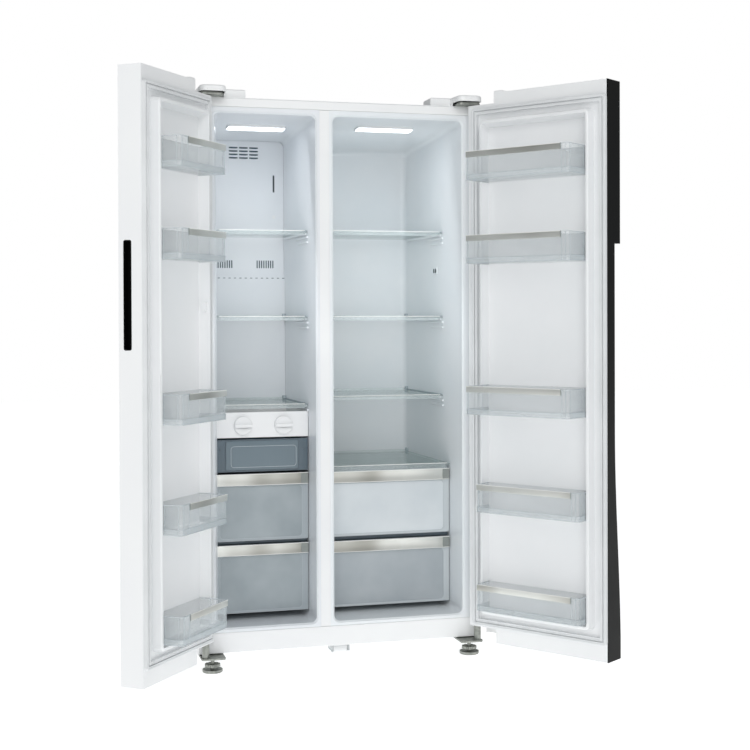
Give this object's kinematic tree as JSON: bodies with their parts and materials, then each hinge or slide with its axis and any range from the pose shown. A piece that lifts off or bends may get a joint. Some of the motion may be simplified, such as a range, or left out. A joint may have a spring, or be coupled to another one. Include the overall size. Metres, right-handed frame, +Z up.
{
  "type": "side by side refrigerator",
  "caption": "Tall two-door fridge-freezer with both doors swung open, showing shelves, drawers, a twist ice maker and clear door bins.",
  "frame": {"origin": "on the floor, under the middle of the outline of the appliance with its doors open", "axes": "+X to the viewer's right across the front, +Y from the front to the back, +Z up"},
  "size_m": [1.484, 1.0987, 1.7925],
  "materials": {
    "cabinet_paint": "gloss",
    "liner_plastic": "satin",
    "white_plastic": "satin",
    "back_sheet": "satin",
    "black_plastic": "satin",
    "gasket_rubber": "matte",
    "clear_plastic": "gloss",
    "frosted_plastic": "satin",
    "shelf_glass": "gloss",
    "zinc_steel": "satin",
    "black_steel": "satin",
    "coil_aluminium": "satin",
    "foam": "matte",
    "lamp_diffuser": "satin"
  },
  "bodies": {
    "cabinet": {"cabinet_shell": "cabinet_paint", "back_panel": "back_sheet", "base_tray": "back_sheet", "cabinet_foam": "foam", "freezer_liner": "liner_plastic", "fridge_liner": "liner_plastic", "front_apron": "white_plastic", "top_rail": "white_plastic", "mullion_cover": "white_plastic", "evaporator_cover": "liner_plastic", "evaporator_coil": "coil_aluminium", "fan_motor": "black_plastic", "lamp_covers": "lamp_diffuser", "sensor_cover": "liner_plastic", "top_hinges": "zinc_steel", "bottom_hinges": "zinc_steel", "hinge_covers": "white_plastic", "compressor": "black_steel", "rear_cover": "back_sheet", "ice_maker_frame": "white_plastic", "freezer_shelf_1": "shelf_glass", "freezer_shelf_2": "shelf_glass", "freezer_shelf_3": "shelf_glass", "fridge_shelf_1": "shelf_glass", "fridge_shelf_2": "shelf_glass", "fridge_shelf_3": "shelf_glass", "crisper_cover": "shelf_glass"},
    "left_door": {"left_door_shell": "cabinet_paint", "left_door_caps": "white_plastic", "left_door_liner": "liner_plastic", "left_door_gasket": "gasket_rubber", "left_grip": "black_plastic", "left_bin_1": "clear_plastic", "left_bin_2": "clear_plastic", "left_bin_3": "clear_plastic", "left_bin_4": "clear_plastic", "left_bin_5": "clear_plastic"},
    "right_door": {"right_door_shell": "cabinet_paint", "right_door_caps": "white_plastic", "right_door_liner": "liner_plastic", "right_door_gasket": "gasket_rubber", "right_edge_trim": "black_plastic", "right_bin_1": "clear_plastic", "right_bin_2": "clear_plastic", "right_bin_3": "clear_plastic", "right_bin_4": "clear_plastic", "right_bin_5": "clear_plastic"},
    "freezer_drawer_upper_body": {"freezer_drawer_upper": "frosted_plastic"},
    "freezer_drawer_lower_body": {"freezer_drawer_lower": "frosted_plastic"},
    "fridge_drawer_upper_body": {"fridge_drawer_upper": "frosted_plastic"},
    "fridge_drawer_lower_body": {"fridge_drawer_lower": "frosted_plastic"},
    "ice_bucket_body": {"ice_bucket": "frosted_plastic"},
    "left_ice_tray_body": {"left_ice_tray": "white_plastic"},
    "right_ice_tray_body": {"right_ice_tray": "white_plastic"},
    "left_foot_body": {"left_foot": "zinc_steel"},
    "right_foot_body": {"right_foot": "zinc_steel"},
    "centre_roller_body": {"centre_roller": "white_plastic"},
    "left_rear_roller_body": {"left_rear_roller": "white_plastic"},
    "right_rear_roller_body": {"right_rear_roller": "white_plastic"},
    "fan_blade_body": {"fan_blade": "white_plastic"}
  },
  "joints": [
    {"name": "left_door_swing", "type": "hinge", "parent": "cabinet", "child": "left_door", "pos_m": [-0.463, -0.126, 0.9], "axis": [0, 0, -1], "range_deg": [-127.8, 4.2]},
    {"name": "right_door_swing", "type": "hinge", "parent": "cabinet", "child": "right_door", "pos_m": [0.413, -0.126, 0.9], "axis": [0, 0, 1], "range_deg": [-125.6, 6.4]},
    {"name": "freezer_drawer_upper_slide", "type": "slide", "parent": "cabinet", "child": "freezer_drawer_upper_body", "axis": [0, -1, 0], "range_m": [0, 0.25]},
    {"name": "freezer_drawer_lower_slide", "type": "slide", "parent": "cabinet", "child": "freezer_drawer_lower_body", "axis": [0, -1, 0], "range_m": [0, 0.25]},
    {"name": "fridge_drawer_upper_slide", "type": "slide", "parent": "cabinet", "child": "fridge_drawer_upper_body", "axis": [0, -1, 0], "range_m": [0, 0.3]},
    {"name": "fridge_drawer_lower_slide", "type": "slide", "parent": "cabinet", "child": "fridge_drawer_lower_body", "axis": [0, -1, 0], "range_m": [0, 0.25]},
    {"name": "ice_bucket_slide", "type": "slide", "parent": "cabinet", "child": "ice_bucket_body", "axis": [0, -1, 0], "range_m": [0, 0.25]},
    {"name": "left_ice_tray_twist", "type": "hinge", "parent": "cabinet", "child": "left_ice_tray_body", "pos_m": [-0.322, 0.146, 0.741], "axis": [0, -1, 0], "range_deg": [0, 120], "stiffness_Nm_per_rad": 0.3},
    {"name": "right_ice_tray_twist", "type": "hinge", "parent": "cabinet", "child": "right_ice_tray_body", "pos_m": [-0.192, 0.146, 0.741], "axis": [0, -1, 0], "range_deg": [0, 120], "stiffness_Nm_per_rad": 0.3},
    {"name": "left_foot_screw", "type": "hinge", "parent": "cabinet", "child": "left_foot_body", "pos_m": [-0.44, -0.111, 0.02], "axis": [0, 0, 1], "continuous": true},
    {"name": "right_foot_screw", "type": "hinge", "parent": "cabinet", "child": "right_foot_body", "pos_m": [0.39, -0.111, 0.02], "axis": [0, 0, 1], "continuous": true},
    {"name": "centre_roller_spin", "type": "hinge", "parent": "cabinet", "child": "centre_roller_body", "pos_m": [-0.013, 0.006, 0.023], "axis": [1, 0, 0], "continuous": true},
    {"name": "left_rear_roller_spin", "type": "hinge", "parent": "cabinet", "child": "left_rear_roller_body", "pos_m": [-0.425, 0.496, 0.022], "axis": [1, 0, 0], "continuous": true},
    {"name": "right_rear_roller_spin", "type": "hinge", "parent": "cabinet", "child": "right_rear_roller_body", "pos_m": [0.375, 0.496, 0.022], "axis": [1, 0, 0], "continuous": true},
    {"name": "fan_spin", "type": "hinge", "parent": "cabinet", "child": "fan_blade_body", "pos_m": [-0.257, 0.411, 1.56], "axis": [0, 1, 0], "continuous": true}
  ]
}
